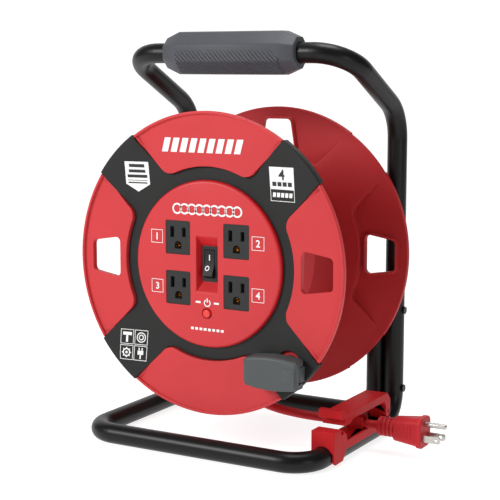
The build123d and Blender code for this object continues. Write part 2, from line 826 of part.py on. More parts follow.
with BuildPart() as reset_spring:
    with BuildSketch(Plane(origin=(0, reel_front_y, axle_height + button_z), x_dir=(0, 1, 0), z_dir=(1, 0, 0))):
        with BuildLine():
            outer_arc = ThreePointArc((14.6, -3.4), (button_back_depth, 0), (14.6, 3.4))
            inner_arc = ThreePointArc((15.0, 3.2), (button_back_depth + 0.4, 0), (15.0, -3.2))
            Line(outer_arc @ 1, inner_arc @ 0)
            Line(inner_arc @ 1, outer_arc @ 0)
        make_face()
    extrude(amount=1.5, both=True)
save(reset_spring, "reset_spring")

# ---- folding crank: a turning base in its pocket and a handle on a hinge pin ----
crank_base_radius = 9.0
lug_half = 6.9
lug_reach = 4.2
lug_right = 5.3
lug_foot = 12.0
foot_wall = 2.4
foot_front = handle_back_depth - crank_pin_depth - foot_wall
pin_radius = 2.0
crank_axis_plane = Plane(
    origin=(crank_pin_x, reel_front_y + crank_pin_depth, axle_height + handle_mid_z),
    x_dir=(1, 0, 0),
    z_dir=(0, 0, 1),
)
base_front_depth = 0.0
lug_root = (crank_pin_x - crank_x + (lug_right - lug_foot) / 2, handle_mid_z - crank_z)
with BuildPart() as crank_base:
    with BuildSketch(crank_plane.offset(-base_front_depth)):
        Circle(crank_base_radius)
    extrude(amount=-(pocket_floor_depth - base_front_depth - moving_gap))
    with BuildSketch(crank_plane.offset(-base_front_depth)):
        Circle(crank_stem_radius)
    extrude(amount=-(pocket_cup_depth + 1.5 - base_front_depth))
    with BuildSketch(crank_axis_plane):
        with BuildLine():
            Polyline(
                (0, -lug_reach),
                (lug_right - 2.3, -lug_reach),
                (lug_right, -lug_reach + 2.7),
                (lug_right, foot_front + foot_wall),
                (-lug_foot, foot_front + foot_wall),
                (-lug_foot, foot_front),
                (-lug_reach, foot_front),
                (-lug_reach, 0),
                close=True,
            )
        make_face()
        Circle(lug_reach)
    extrude(amount=lug_half, both=True)
    with BuildSketch(crank_plane.offset(-handle_back_depth)):
        Circle(crank_base_radius)
        with Locations(lug_root):
            Rectangle(lug_right + lug_foot, 2 * lug_half, mode=Mode.INTERSECT)
    extrude(amount=handle_back_depth - base_front_depth)
    with BuildSketch(crank_axis_plane):
        Circle(pin_radius + running_gap)
    extrude(amount=lug_half + 1, both=True, mode=Mode.SUBTRACT)
save(crank_base, "crank_base")

with BuildPart() as crank_retaining_screw:
    with BuildSketch(crank_plane.offset(-(pocket_cup_depth + 1.5))):
        Circle(6.5)
    extrude(amount=-1.8)
save(crank_retaining_screw, "crank_retaining_screw")

handle_length = 48.0
handle_end = 5.8
handle_end_half = 12.3
handle_wall = 2.5
slot_front = -5.9
hollow_half = 9.5
handle_mid_half = 15.2
cheek_round = 5.9
handle_front = handle_front_depth - crank_pin_depth
handle_back = handle_back_depth - crank_pin_depth
handle_plane = face_plane(0, crank_pin_x, handle_mid_z)
with BuildPart() as crank_handle:
    with BuildSketch(handle_plane.offset(-handle_back_depth)):
        with BuildLine():
            top_edge = ThreePointArc(
                (-handle_length, handle_end_half),
                ((handle_end - handle_length) / 2, handle_mid_half),
                (handle_end, handle_end_half),
            )
            right_edge = Line(top_edge @ 1, (handle_end, -handle_end_half))
            bottom_edge = ThreePointArc(
                right_edge @ 1,
                ((handle_end - handle_length) / 2, -handle_mid_half),
                (-handle_length, -handle_end_half),
            )
            Line(bottom_edge @ 1, top_edge @ 0)
        make_face()
    extrude(amount=handle_back_depth - handle_front_depth)
    fillet(crank_handle.edges().filter_by(Axis.Y).group_by(Axis.X)[0], 5)
    chamfer(crank_handle.faces().sort_by(Axis.Y)[0].edges(), 1.8)
    with BuildSketch(crank_axis_plane) as end_cut:
        with Locations((3, handle_back / 2)):
            Rectangle(12, handle_back)
        with Locations((-3, handle_back / 2)):
            Rectangle(6, handle_back, mode=Mode.SUBTRACT)
        Circle(cheek_round, mode=Mode.SUBTRACT)
    extrude(amount=20, both=True, mode=Mode.SUBTRACT)
    with BuildSketch(crank_axis_plane):
        with Locations((lug_reach, (slot_front + handle_back) / 2 + 1)):
            Rectangle(4 * lug_reach + 2 * moving_gap, handle_back - slot_front + 2)
        with Locations((-lug_reach, (foot_front + handle_back) / 2 + 1)):
            Rectangle(2 * (lug_foot - lug_reach + moving_gap), foot_wall + 2 + 2 * moving_gap)
    extrude(amount=lug_half + moving_gap, both=True, mode=Mode.SUBTRACT)
    with BuildSketch(handle_plane.offset(-handle_back_depth)):
        with Locations((-(handle_length + lug_foot) / 2, 0)):
            RectangleRounded(handle_length - lug_foot - 3 * handle_wall, 2 * hollow_half, 3)
    extrude(amount=handle_back_depth - handle_front_depth - handle_wall, mode=Mode.SUBTRACT)
    with BuildSketch(crank_axis_plane):
        Circle(pin_radius)
    extrude(amount=11, both=True, mode=Mode.SUBTRACT)
save(crank_handle, "crank_handle")

with BuildPart() as crank_hinge_pin:
    with BuildSketch(crank_axis_plane):
        Circle(pin_radius)
    extrude(amount=10.8, both=True)
save(crank_hinge_pin, "crank_hinge_pin")

# ---- strain relief on the drum ----
relief_length = 18.2
relief_tip_radius = 5.2
with BuildPart() as lead_strain_relief:
    with BuildSketch(relief_plane.offset(0.6)):
        Circle(relief_hole_radius - 0.1)
    with BuildSketch(relief_plane.offset(relief_length)):
        Circle(relief_tip_radius)
    loft()
    with BuildSketch(relief_plane.offset(0.6)):
        Circle(relief_hole_radius - 0.1)
    extrude(amount=-10)
    with BuildSketch(relief_plane.offset(-8.8)):
        Circle(relief_hole_radius + 2)
    extrude(amount=-2.5)
save(lead_strain_relief, "lead_strain_relief")

# ---- cord clip on the right ground bar: a saddle, a front post and a hinged arm ----
post_rear_y = -38.5
post_top_z = 33.0
saddle_top_z = 20.3
clip_side = Plane(origin=(leg_x, 0, 0), x_dir=(0, 1, 0), z_dir=(1, 0, 0))
arm_slot = 11.4
lug_width = 10.8
clip_pin_radius = 2.0
arm_wall = 7.5
arm_post = 5.3
clip_cross = Plane(origin=(leg_x, clip_front_y, 0), x_dir=(-1, 0, 0), z_dir=(0, 1, 0))
with BuildPart() as clip_base:
    with BuildSketch(clip_side):
        with BuildLine():
            Polyline(
                (clip_front_y, 6),
                (clip_front_y, post_top_z),
                (clip_front_y + 15, post_top_z),
                (clip_front_y + 15, post_top_z - 5),
                (clip_front_y + 19, post_top_z - 5),
                (clip_front_y + 19, post_top_z - 2),
                (post_rear_y, post_top_z - 6),
                (post_rear_y + 3, saddle_top_z),
                (clip_rear_y, saddle_top_z),
                (clip_rear_y, 12),
                (post_rear_y, 12),
                (post_rear_y - 6, 3),
                (clip_front_y + 4, 2.5),
                close=True,
            )
        make_face()
    extrude(amount=clip_width / 2, both=True)
    with BuildSketch(clip_cross):
        Circle(tube_radius + 0.1)
        with Locations((0, -10)):
            Rectangle(2 * tube_radius + 0.2, 20)
        with Locations((0, floor_tube_z)):
            Circle(tube_radius + 0.1)
    extrude(amount=130, mode=Mode.SUBTRACT)
    with BuildSketch(clip_cross):
        with Locations((0, floor_tube_z + 2)):
            Rectangle(2 * tube_radius + 0.2, 4)
    extrude(amount=130, mode=Mode.SUBTRACT)
    with BuildSketch(clip_side):
        with Locations((clip_pivot_y, clip_pivot_z)):
            Circle(5.0)
        with Locations((clip_pivot_y, (clip_pivot_z + saddle_top_z) / 2)):
            Rectangle(10, clip_pivot_z - saddle_top_z)
    extrude(amount=lug_width / 2, both=True)
    with BuildSketch(clip_side):
        with Locations((clip_pivot_y, clip_pivot_z)):
            Circle(clip_pin_radius)
    extrude(amount=lug_width, both=True, mode=Mode.SUBTRACT)
save(clip_base, "clip_base")

arm_front_y = -41.0
hook_front_y = -48.7
arm_rear_y = clip_pivot_y + arm_post
lip_low_z = 34.2
with BuildPart() as clip_arm:
    with BuildSketch(clip_side):
        with BuildLine():
            Polyline(
                (clip_pivot_y - arm_post, clip_pivot_z),
                (clip_pivot_y - arm_post, arm_top_z - arm_wall - 4),
                (clip_pivot_y - arm_post - 4, arm_top_z - arm_wall),
                (arm_front_y + 16, arm_top_z - arm_wall),
                (arm_front_y + 11, lip_low_z),
                (arm_front_y, lip_low_z),
                (arm_front_y, arm_top_z - 4),
                (hook_front_y, arm_top_z - 3),
                (hook_front_y - 1, arm_top_z + 4.5),
                (hook_front_y + 4, arm_top_z + 5.5),
                (hook_front_y + 10, arm_top_z),
                (arm_rear_y - 7, arm_top_z),
                (arm_rear_y, arm_top_z - 7),
                (arm_rear_y, clip_pivot_z),
                close=True,
            )
        make_face()
        with Locations((clip_pivot_y, clip_pivot_z)):
            Circle(arm_post)
    extrude(amount=clip_width / 2, both=True)
    with BuildSketch(clip_side):
        with Locations((clip_pivot_y, clip_pivot_z - 5)):
            Rectangle(4 * arm_post, 21.4)
    extrude(amount=arm_slot / 2, both=True, mode=Mode.SUBTRACT)
    with BuildSketch(clip_side):
        with Locations((clip_pivot_y, clip_pivot_z)):
            Circle(clip_pin_radius + running_gap)
    extrude(amount=clip_width, both=True, mode=Mode.SUBTRACT)
save(clip_arm, "clip_arm")

with BuildPart() as clip_pivot_pin:
    with BuildSketch(clip_side):
        with Locations((clip_pivot_y, clip_pivot_z)):
            Circle(clip_pin_radius)
    extrude(amount=clip_width / 2 - 0.5, both=True)
save(clip_pivot_pin, "clip_pivot_pin")

with BuildPart() as clip_screw:
    with BuildSketch(Plane(origin=(leg_x - clip_width / 2, 0, 0), x_dir=(0, -1, 0), z_dir=(-1, 0, 0))):
        with Locations((-clip_front_y - 13, 18)):
            Circle(3.2)
    extrude(amount=1.6)
save(clip_screw, "clip_screw")

# ---- lead: from the drum's strain relief, under the clip's arm, to the plug ----
lead_points = [
    (-4.7, relief_y, 82.9),
    (1.6, relief_y + 0.5, 63.9),
    (17.6, relief_y + 1.5, 46.0),
    (41.4, relief_y + 4.0, 36.0),
    (69.0, relief_y + 11.0, 31.0),
    (93.0, relief_y + 24.0, 27.0),
    (115.0, plug_y, plug_z),
    (141.0, plug_y, plug_z),
]


def run_bends(points):
    """The largest arc for each corner: 0.45 of the shorter run over the tangent of half the turn."""
    bends = []
    for before, corner, after in zip(points[:-2], points[1:-1], points[2:]):
        run_in = Vector(*corner) - Vector(*before)
        run_out = Vector(*after) - Vector(*corner)
        half_turn = radians(run_in.get_angle(run_out)) / 2
        bends.append(0.45 * min(run_in.length, run_out.length) / tan(half_turn))
    return bends


lead_bends = run_bends(lead_points)
with BuildPart() as lead_cord:
    with BuildLine() as lead_path:
        FilletPolyline(*lead_points, radius=lead_bends)
    lead_start = Vector(*lead_points[1]) - Vector(*lead_points[0])
    with BuildSketch(Plane(origin=lead_points[0], z_dir=lead_start)):
        Circle(lead_radius)
    sweep(path=lead_path.line)
save(lead_cord, "lead_cord")
lead_length = lead_path.wire().length
print("lead bends", [round(bend, 1) for bend in lead_bends], "length", round(lead_length, 1))
print("lead volume", round(lead_cord.part.volume), "section x length", round(pi * lead_radius**2 * lead_length))

# ---- plug: ribbed strain relief, body, two blades and a round ground pin ----
plug_start_x = lead_points[-1][0]
plug_neck_x = 157.0
plug_flange_x = plug_face_x - 5.0
blade_length = 17.0
ground_pin_radius = 2.38
ground_pin_length = 20.6
blade_drop = 4.5
ground_rise = 7.4


def plug_plane(x):
    """A plane across the plug's axis: local X is +Y and local Y is +Z."""
    return Plane(origin=(x, plug_y, plug_z), x_dir=(0, 1, 0), z_dir=(1, 0, 0))


neck_rings = 3
with BuildPart() as plug_strain_relief:
    with BuildSketch(plug_plane(plug_start_x)):
        Circle(9.0)
    extrude(amount=plug_neck_x - plug_start_x)
    for ring in range(neck_rings):
        with BuildSketch(plug_plane(plug_start_x + 4 + 4 * ring)):
            Circle(9.5)
            Circle(7.6, mode=Mode.SUBTRACT)
        extrude(amount=1.6, mode=Mode.SUBTRACT)
save(plug_strain_relief, "plug_strain_relief")

with BuildPart() as plug_body:
    with BuildSketch(plug_plane(plug_neck_x)):
        RectangleRounded(16.5, 22, 6)
    with BuildSketch(plug_plane(plug_flange_x)):
        RectangleRounded(21, 26, 5)
    loft()
    with BuildSketch(plug_plane(plug_flange_x)):
        RectangleRounded(25, 28, 6)
    extrude(amount=plug_face_x - plug_flange_x)
save(plug_body, "plug_body")

with BuildPart() as plug_blades:
    with BuildSketch(plug_plane(plug_face_x)):
        with Locations((-slot_pitch / 2, -blade_drop), (slot_pitch / 2, -blade_drop)):
            Rectangle(1.5, 6.35)
    extrude(amount=blade_length)
    chamfer(plug_blades.edges().filter_by(Axis.Y).group_by(Axis.X)[-1], 1.4)
    with BuildSketch(Plane(origin=(plug_face_x + 12.5, plug_y, plug_z - blade_drop), z_dir=(0, 1, 0))):
        Circle(1.6)
    extrude(amount=12, both=True, mode=Mode.SUBTRACT)
save(plug_blades, "plug_blades")

with BuildPart() as plug_ground_pin:
    with BuildSketch(plug_plane(plug_face_x)):
        with Locations((0, ground_rise)):
            Circle(ground_pin_radius)
    extrude(amount=ground_pin_length)
    fillet(plug_ground_pin.edges().group_by(Axis.X)[-1], 1.6)
save(plug_ground_pin, "plug_ground_pin")
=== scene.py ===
from math import cos, hypot, pi, radians, sin, tan

import bmesh
import bpy
from mathutils import Matrix, Vector
from mathutils.bvhtree import BVHTree


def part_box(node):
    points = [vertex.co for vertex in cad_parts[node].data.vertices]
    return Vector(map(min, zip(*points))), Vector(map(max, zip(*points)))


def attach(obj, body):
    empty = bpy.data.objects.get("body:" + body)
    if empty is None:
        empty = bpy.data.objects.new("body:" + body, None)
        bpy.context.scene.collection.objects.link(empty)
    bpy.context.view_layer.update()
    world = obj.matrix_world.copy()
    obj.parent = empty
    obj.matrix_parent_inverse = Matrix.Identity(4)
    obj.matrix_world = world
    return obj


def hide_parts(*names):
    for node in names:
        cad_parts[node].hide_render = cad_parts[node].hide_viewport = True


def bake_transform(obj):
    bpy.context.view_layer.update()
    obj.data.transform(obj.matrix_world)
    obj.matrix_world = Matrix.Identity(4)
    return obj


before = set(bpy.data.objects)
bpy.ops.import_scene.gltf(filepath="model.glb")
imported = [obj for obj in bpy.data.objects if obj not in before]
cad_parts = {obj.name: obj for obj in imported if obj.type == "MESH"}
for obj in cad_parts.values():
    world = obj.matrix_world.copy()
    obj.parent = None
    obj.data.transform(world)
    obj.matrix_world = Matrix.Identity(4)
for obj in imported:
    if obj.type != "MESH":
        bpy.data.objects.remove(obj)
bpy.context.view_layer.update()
MM = 0.001
scene = bpy.context.scene


# ---- Studio: a pale paper sweep, a white room and three soft boxes. None of it is part of the reel. ----
camera_data = bpy.data.cameras.new("camera")
camera_data.lens = 94.43
camera_data.sensor_width = 36.0
camera_data.clip_end = 20.0
camera = bpy.data.objects.new("camera", camera_data)
camera.location = (0.62202, -1.07685, 0.35762)
camera.rotation_euler = (radians(81.87), 0.0, radians(29.74))
scene.collection.objects.link(camera)
scene.camera = camera
scene.view_settings.view_transform = "Standard"

room = bpy.data.worlds.new("room")
room.use_nodes = True
room.node_tree.nodes["Background"].inputs["Color"].default_value = (1.0, 1.0, 1.0, 1.0)
room.node_tree.nodes["Background"].inputs["Strength"].default_value = 0.13
scene.world = room


def soft_box(name, place, aim, size, power):
    """A square diffused lamp that points at a spot on the reel."""
    lamp = bpy.data.lights.new(name, "AREA")
    lamp.size = size
    lamp.energy = power
    stand = bpy.data.objects.new(name, lamp)
    stand.location = place
    stand.rotation_euler = (Vector(aim) - Vector(place)).to_track_quat("-Z", "Y").to_euler()
    scene.collection.objects.link(stand)


soft_box("key_box", (-0.9, -1.5, 1.0), (0.0, 0.0, 0.2), 0.6, 27.0)
soft_box("right_box", (2.0, -0.9, 0.5), (0.0, 0.0, 0.1), 0.4, 4.0)
soft_box("top_box", (0.1, 0.1, 2.0), (0.0, 0.0, 0.0), 0.9, 26.0)

sweep_width = 6.0
sweep_front = -4.0
sweep_back = 1.6
sweep_radius = 1.2
sweep_steps = 16
sweep_top = 4.0
paper = bmesh.new()
sweep_line = [(sweep_front, 0.0), (sweep_back, 0.0)]
for step in range(1, sweep_steps + 1):
    angle = 0.5 * pi * step / sweep_steps
    sweep_line.append((sweep_back + sweep_radius * sin(angle), sweep_radius * (1 - cos(angle))))
sweep_line.append((sweep_back + sweep_radius, sweep_top))
edge_rows = [[paper.verts.new((side * sweep_width / 2, y, z)) for y, z in sweep_line] for side in (-1, 1)]
for step in range(len(sweep_line) - 1):
    left, right = edge_rows
    paper.faces.new((left[step], right[step], right[step + 1], left[step + 1])).smooth = True
paper_mesh = bpy.data.meshes.new("paper_sweep")
paper.to_mesh(paper_mesh)
paper.free()
paper_sweep = bpy.data.objects.new("paper_sweep", paper_mesh)
scene.collection.objects.link(paper_sweep)
turn = Matrix.Rotation(radians(29.74), 4, "Z")
paper_mesh.transform(turn)
paper_finish = bpy.data.materials.new("pale_paper")
paper_finish.use_nodes = True
paper_shader = paper_finish.node_tree.nodes["Principled BSDF"]
paper_shader.inputs["Base Color"].default_value = (0.35, 0.35, 0.35, 1.0)
paper_shader.inputs["Roughness"].default_value = 0.9
paper_shader.inputs["Specular IOR Level"].default_value = 0.1
paper_shader.inputs["Emission Color"].default_value = (1.0, 1.0, 1.0, 1.0)
paper_shader.inputs["Emission Strength"].default_value = 0.84
paper_mesh.materials.append(paper_finish)


# ---- Lead: a round cord with a soft red jacket. It leaves the drum through a moulded relief, drops
# behind the front flange and runs under the clip's arm to its plug. ----
def finish_of(name, colour, shade, rough, grain, depth, mottle=0.035, metal=0.0, specular=0.5, coat=0.0):
    """A moulded, coated or plated surface: slow colour drift, uneven gloss and a fine grain in relief."""
    finish = bpy.data.materials.new(name)
    finish.use_nodes = True
    nodes = finish.node_tree.nodes
    wire = finish.node_tree.links.new
    shader = nodes["Principled BSDF"]
    shader.inputs["Metallic"].default_value = metal
    shader.inputs["Specular IOR Level"].default_value = specular
    shader.inputs["Coat Weight"].default_value = coat
    shader.inputs["Coat Roughness"].default_value = 0.15
    place = nodes.new("ShaderNodeTexCoord")
    drift = nodes.new("ShaderNodeTexNoise")
    drift.inputs["Scale"].default_value = 28.0
    drift.inputs["Detail"].default_value = 4.0
    wire(place.outputs["Object"], drift.inputs["Vector"])
    tint = nodes.new("ShaderNodeMix")
    tint.data_type = "RGBA"
    tint.inputs["A"].default_value = (*[c * (1 - mottle) for c in shade], 1.0)
    tint.inputs["B"].default_value = (*[c * (1 + mottle) for c in colour], 1.0)
    wire(drift.outputs["Fac"], tint.inputs["Factor"])
    wire(tint.outputs["Result"], shader.inputs["Base Color"])
    pores = nodes.new("ShaderNodeTexNoise")
    pores.inputs["Scale"].default_value = grain
    pores.inputs["Detail"].default_value = 3.0
    wire(place.outputs["Object"], pores.inputs["Vector"])
    gloss = nodes.new("ShaderNodeMapRange")
    gloss.inputs["To Min"].default_value = rough - 0.05
    gloss.inputs["To Max"].default_value = rough + 0.05
    wire(pores.outputs["Fac"], gloss.inputs["Value"])
    wire(gloss.outputs["Result"], shader.inputs["Roughness"])
    relief = nodes.new("ShaderNodeBump")
    relief.inputs["Strength"].default_value = 0.5
    relief.inputs["Distance"].default_value = depth
    wire(pores.outputs["Fac"], relief.inputs["Height"])
    wire(relief.outputs["Normal"], shader.inputs["Normal"])
    return finish


def shown(name, mesh, finish, slot, body, *nodes):
    """Show a finished mesh as a piece, with its finish, body and the CAD nodes it stands for. The slot is
    not used.
    """
    thing = bpy.data.objects.new(name, mesh)
    scene.collection.objects.link(thing)
    mesh.materials.clear()
    mesh.materials.append(finish)
    if body:
        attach(thing, body)
    if nodes:
        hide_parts(*nodes)
    return thing


def baked(thing):
    """The thing's mesh with its modifiers worked in. The thing itself is taken away."""
    bpy.context.view_layer.update()
    graph = bpy.context.evaluated_depsgraph_get()
    mesh = bpy.data.meshes.new_from_object(thing.evaluated_get(graph), depsgraph=graph)
    mesh.name = thing.name
    bpy.data.objects.remove(thing)
    return mesh


def rounded(node, radius, weigh=None, sharp=28.0, segments=3):
    """A CAD piece's own surface with its edges rounded over, as its mould or press leaves them."""
    solid = bmesh.new()
    solid.from_mesh(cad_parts[node].data)
    bmesh.ops.remove_doubles(solid, verts=solid.verts, dist=0.002 * MM)
    bmesh.ops.dissolve_limit(solid, angle_limit=radians(0.4), verts=solid.verts, edges=solid.edges)
    share = solid.edges.layers.float.new("bevel_weight_edge")
    for face in solid.faces:
        face.smooth = True
    for edge in solid.edges:
        if edge.is_manifold and edge.calc_face_angle() > radians(sharp):
            edge[share] = weigh(edge) if weigh else 1.0
    data = bpy.data.meshes.new(node + "_surface")
    solid.to_mesh(data)
    solid.free()
    for layer in ("custom_normal", "sharp_edge", "sharp_face"):
        if layer in data.attributes:
            data.attributes.remove(data.attributes[layer])
    blank = bpy.data.objects.new(node + "_surface", data)
    scene.collection.objects.link(blank)
    edge_break = blank.modifiers.new("edge_break", "BEVEL")
    edge_break.limit_method = "WEIGHT"
    edge_break.width = radius
    edge_break.segments = segments
    edge_break.use_clamp_overlap = False
    edge_break.harden_normals = True
    mesh = baked(blank)
    normals = [corner.vector.copy() for corner in mesh.corner_normals]
    for face in mesh.polygons:
        for corner in face.loop_indices:
            if normals[corner].dot(face.normal) < 0.75:
                normals[corner] = face.normal.copy()
    mesh.normals_split_custom_set(normals)
    return mesh


def curve_line(name, points, thickness, sides=5):
    """A smooth tube along a NURBS route, or its bare centreline when the thickness is zero."""
    route = bpy.data.curves.new(name, "CURVE")
    route.dimensions = "3D"
    route.resolution_u = 24
    route.bevel_depth = thickness
    route.bevel_resolution = sides
    route.use_fill_caps = True
    spline = route.splines.new("NURBS")
    spline.points.add(len(points) - 1)
    for knot, point in zip(spline.points, points):
        knot.co = (*point, 1.0)
    spline.order_u = 3
    spline.use_endpoint_u = True
    line = bpy.data.objects.new(name, route)
    scene.collection.objects.link(line)
    return baked(line)


red_jacket = finish_of(
    "red_jacket", (0.50, 0.018, 0.024), (0.44, 0.014, 0.020), 0.5, 1600.0, 0.04 * MM, specular=0.22
)
lead_radius = 4.1 * MM
lead_route = [
    (-0.0047, -0.0249, 0.0829),
    (0.0016, -0.0244, 0.0639),
    (0.0176, -0.0234, 0.0460),
    (0.0414, -0.0209, 0.0360),
    (0.0690, -0.0139, 0.0310),
    (0.0930, -0.0009, 0.0270),
    (0.1150, 0.0081, 0.0246),
    (0.1410, 0.0081, 0.0246),
]
lead_line = curve_line("lead_line", lead_route, 0.0)
lead_mesh = curve_line("lead", lead_route, lead_radius, 6)
for face in lead_mesh.polygons:
    face.use_smooth = True
lead = shown("lead", lead_mesh, red_jacket, "lead_red", None, "lead_cord")


# ---- Plug: a grounded plug moulded onto the lead in red vinyl, with a ringed neck, finger ribs on
# its sides, two nickel plated blades with holes and a round ground pin. ----
def tree_of_bars():
    """Geometry nodes: the bar repeated along a line, as moulded ribs are."""
    tree = bpy.data.node_groups.new("row_of_bars", "GeometryNodeTree")
    sockets = tree.interface.new_socket
    sockets("Bar", in_out="INPUT", socket_type="NodeSocketGeometry")
    sockets("Count", in_out="INPUT", socket_type="NodeSocketInt")
    sockets("Pitch", in_out="INPUT", socket_type="NodeSocketVector")
    sockets("Finish", in_out="INPUT", socket_type="NodeSocketMaterial")
    sockets("Row", in_out="OUTPUT", socket_type="NodeSocketGeometry")
    add = tree.nodes.new
    wire = tree.links.new
    given = add("NodeGroupInput")
    line = add("GeometryNodeMeshLine")
    stand = add("GeometryNodeInstanceOnPoints")
    real = add("GeometryNodeRealizeInstances")
    paint = add("GeometryNodeSetMaterial")
    result = add("NodeGroupOutput")
    wire(given.outputs["Count"], line.inputs["Count"])
    wire(given.outputs["Pitch"], line.inputs["Offset"])
    wire(line.outputs["Mesh"], stand.inputs["Points"])
    wire(given.outputs["Bar"], stand.inputs["Instance"])
    wire(stand.outputs["Instances"], real.inputs["Geometry"])
    wire(real.outputs["Geometry"], paint.inputs["Geometry"])
    wire(given.outputs["Finish"], paint.inputs["Material"])
    wire(paint.outputs["Geometry"], result.inputs["Row"])
    return tree


bar_tree = tree_of_bars()


def row_of(name, bar, count, pitch, finish):
    """The bar's mesh repeated count times at the given pitch, as one plain mesh."""
    blank = bpy.data.objects.new(name, bar)
    scene.collection.objects.link(blank)
    repeat = blank.modifiers.new("repeat", "NODES")
    repeat.node_group = bar_tree
    settings = {"Count": count, "Pitch": pitch, "Finish": finish}
    for item in bar_tree.interface.items_tree:
        if item.name in settings:
            repeat[item.identifier] = settings[item.name]
    return baked(blank)


def bar_mesh(name, low, high, radius):
    """A straight bar between two corners with rounded edges."""
    block = bmesh.new()
    bmesh.ops.create_cube(block, size=1.0)
    low, high = Vector(low), Vector(high)
    for vertex in block.verts:
        vertex.co = [m + c * s for m, c, s in zip((low + high) / 2, vertex.co, high - low)]
    bmesh.ops.bevel(
        block,
        geom=block.edges[:],
        offset=radius,
        segments=2,
        profile=0.5,
        affect="EDGES",
        clamp_overlap=True,
    )
    for face in block.faces:
        face.smooth = True
    mesh = bpy.data.meshes.new(name)
    block.to_mesh(mesh)
    block.free()
    return mesh


nickel = finish_of("nickel", (0.58, 0.56, 0.53), (0.50, 0.48, 0.45), 0.28, 900.0, 0.01 * MM, 0.02, metal=1.0)
plug_low, plug_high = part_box("plug_body")
plug_mid = (plug_low + plug_high) / 2
plug_body = shown(
    "plug_moulding", rounded("plug_body", 0.8 * MM), red_jacket, "lead_red", "frame", "plug_body"
)
plug_neck = shown(
    "plug_neck",
    rounded("plug_strain_relief", 0.45 * MM),
    red_jacket,
    "lead_red",
    "frame",
    "plug_strain_relief",
)
plug_blades = shown(
    "plug_flat_blades",
    rounded("plug_blades", 0.18 * MM, segments=2),
    nickel,
    "plug_nickel",
    "frame",
    "plug_blades",
)
plug_pin = shown(
    "plug_round_pin",
    rounded("plug_ground_pin", 0.2 * MM, segments=2),
    nickel,
    "plug_nickel",
    "frame",
    "plug_ground_pin",
)
rib_count = 5
rib_pitch = 3.4 * MM
rib_width = 1.5 * MM
rib_reach = 0.7 * MM
rib_root_depth = 7.6 * MM
rib_tip_depth = 10.1 * MM
rib_half_height = 6.5 * MM
rib_row_inset = 1.9 * MM
rib_start = plug_low.x + 3.5 * MM
for side, word in ((-1, "front"), (1, "rear")):
    root_y = plug_mid.y + side * rib_root_depth
    tip_y = plug_mid.y + side * (rib_tip_depth + rib_reach)
    bar = bar_mesh(
        "rib",
        (rib_start, min(root_y, tip_y), plug_mid.z - rib_half_height),
        (rib_start + rib_width, max(root_y, tip_y), plug_mid.z + rib_half_height),
        0.5 * MM,
    )
    taper = 3.0 * MM / (plug_high.x - 5 * MM - plug_low.x)
    row = row_of(f"plug_ribs_{word}", bar, rib_count, (rib_pitch, side * taper * rib_pitch, 0.0), red_jacket)
    shift = Matrix.Translation((0.0, -side * rib_row_inset, 0.0))
    row.transform(shift)
    shown(f"plug_ribs_{word}", row, red_jacket, "lead_red", "frame")

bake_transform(lead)


# ---- Stand: 19 mm steel tube, bent cold and powder coated black. One length makes the handle bar,
# legs and ground bars, and a second makes the rear support with its two moulded caps. ----
black_coat = finish_of(
    "black_coat", (0.0060, 0.0058, 0.0058), (0.0040, 0.0038, 0.0038), 0.36, 1300.0, 0.05 * MM, specular=0.24
)
black_cap = finish_of(
    "black_cap", (0.010, 0.010, 0.010), (0.007, 0.007, 0.007), 0.5, 2200.0, 0.03 * MM, specular=0.2
)
for name in ("main_frame_tube", "rear_support_tube"):
    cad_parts[name].data.materials[0] = black_coat
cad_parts["support_tube_caps"].data.materials[0] = black_cap
shown("bracket_plate", rounded("axle_bracket", 0.5 * MM), black_coat, "frame_black", "frame", "axle_bracket")


# ---- Fasteners and shafts: zinc plated screws and bolts, turned steel axle and pins. ----
zinc = finish_of("zinc", (0.66, 0.67, 0.68), (0.52, 0.53, 0.55), 0.32, 500.0, 0.02 * MM, 0.05, metal=1.0)
turned_steel = finish_of(
    "turned_steel", (0.60, 0.60, 0.61), (0.50, 0.50, 0.51), 0.26, 700.0, 0.02 * MM, 0.04, metal=1.0
)
blued_steel = finish_of(
    "blued_steel", (0.22, 0.23, 0.26), (0.16, 0.16, 0.19), 0.3, 700.0, 0.02 * MM, metal=1.0
)
nylon = finish_of("nylon", (0.70, 0.68, 0.61), (0.62, 0.60, 0.54), 0.48, 900.0, 0.03 * MM)
brass = finish_of("brass", (0.78, 0.56, 0.25), (0.62, 0.42, 0.17), 0.25, 600.0, 0.02 * MM, 0.05, metal=1.0)
plain_nodes = {
    zinc: [
        "bracket_bolts",
        "grip_screws",
        "drum_screws",
        "hub_plate_screws",
        "clip_screw",
        "crank_retaining_screw",
    ],
    turned_steel: ["axle", "axle_rear_nut", "crank_hinge_pin", "tube_joint_sleeve"],
    blued_steel: ["axle_retaining_clip", "reset_spring"],
    black_coat: ["leg_tie_screws", "clip_pivot_pin"],
    nylon: ["hub_bush_front", "hub_bush_rear"],
    brass: [f"socket_contacts_{number}" for number in range(1, 5)]
    + ["hot_bus_bar", "neutral_bus_bar", "ground_bus_bar"],
}
for finish, names in plain_nodes.items():
    for name in names:
        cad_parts[name].data.materials[0] = finish


# ---- Grip: two shells of grey polymer that meet round the handle bar. It is eight sided with
# tapered ends, and slanting ribs are moulded over its front. ----
grip_grey = finish_of(
    "grip_grey", (0.070, 0.072, 0.083), (0.056, 0.058, 0.068), 0.5, 2400.0, 0.07 * MM, specular=0.35
)
grip_low = Vector(map(min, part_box("grip_front_shell")[0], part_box("grip_rear_shell")[0]))
grip_high = Vector(map(max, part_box("grip_front_shell")[1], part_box("grip_rear_shell")[1]))
grip_mid = (grip_low + grip_high) / 2
grip_half = (grip_high.z - grip_low.z) / 2
shell_seam = grip_mid.y


